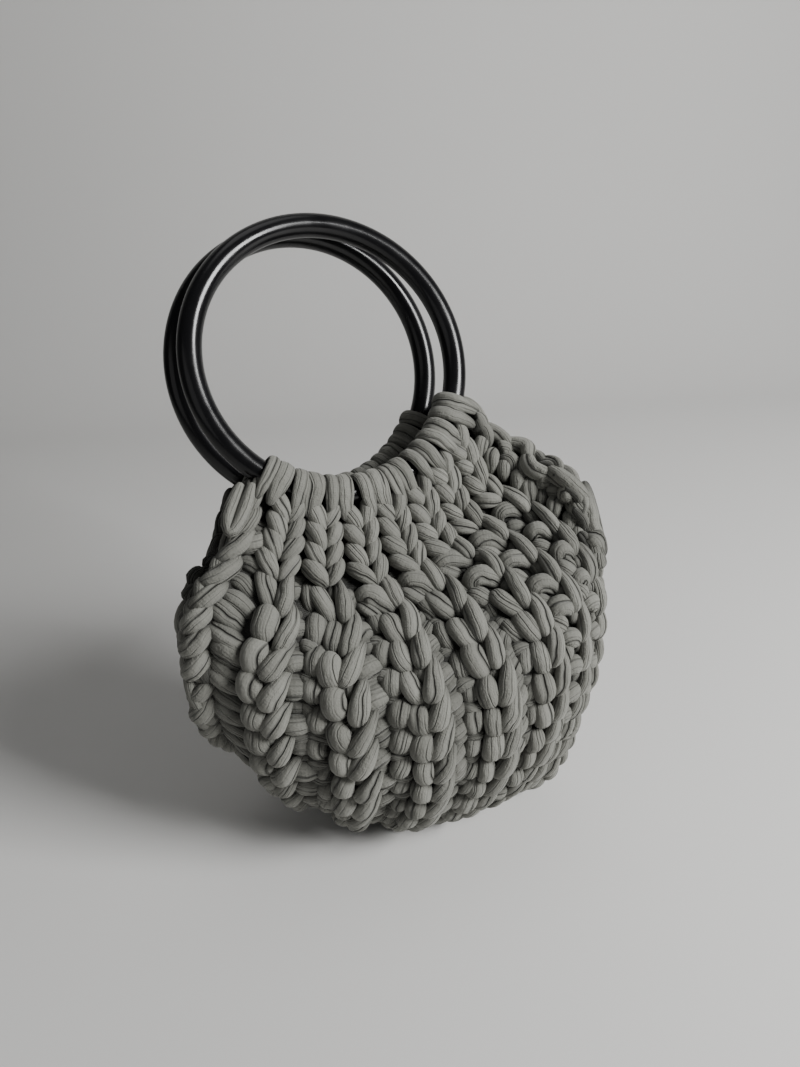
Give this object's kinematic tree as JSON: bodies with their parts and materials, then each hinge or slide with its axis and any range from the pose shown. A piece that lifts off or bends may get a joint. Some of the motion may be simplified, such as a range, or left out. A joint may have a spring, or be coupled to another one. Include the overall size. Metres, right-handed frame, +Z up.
{
  "type": "crochet handbag",
  "caption": "Slouching crochet handbag of thick jersey yarn: ribbed sides looped onto glossy ring handles, hollow inside, folded under to a base seam on which it stands.",
  "frame": {"origin": "centre of the bounding box's footprint, on the surface that the bag stands on", "axes": "+Z up, +Y from the front panel to the back panel, +X to the right of someone facing the front panel"},
  "size_m": [0.2174, 0.181, 0.3154],
  "materials": {
    "yarn": "matte grey jersey yarn",
    "ring": "gloss black"
  },
  "bodies": {
    "root": {"handle_ring_front": "ring", "front_panel": "yarn", "handle_ring_back": "ring", "back_panel": "yarn"}
  },
  "joints": []
}
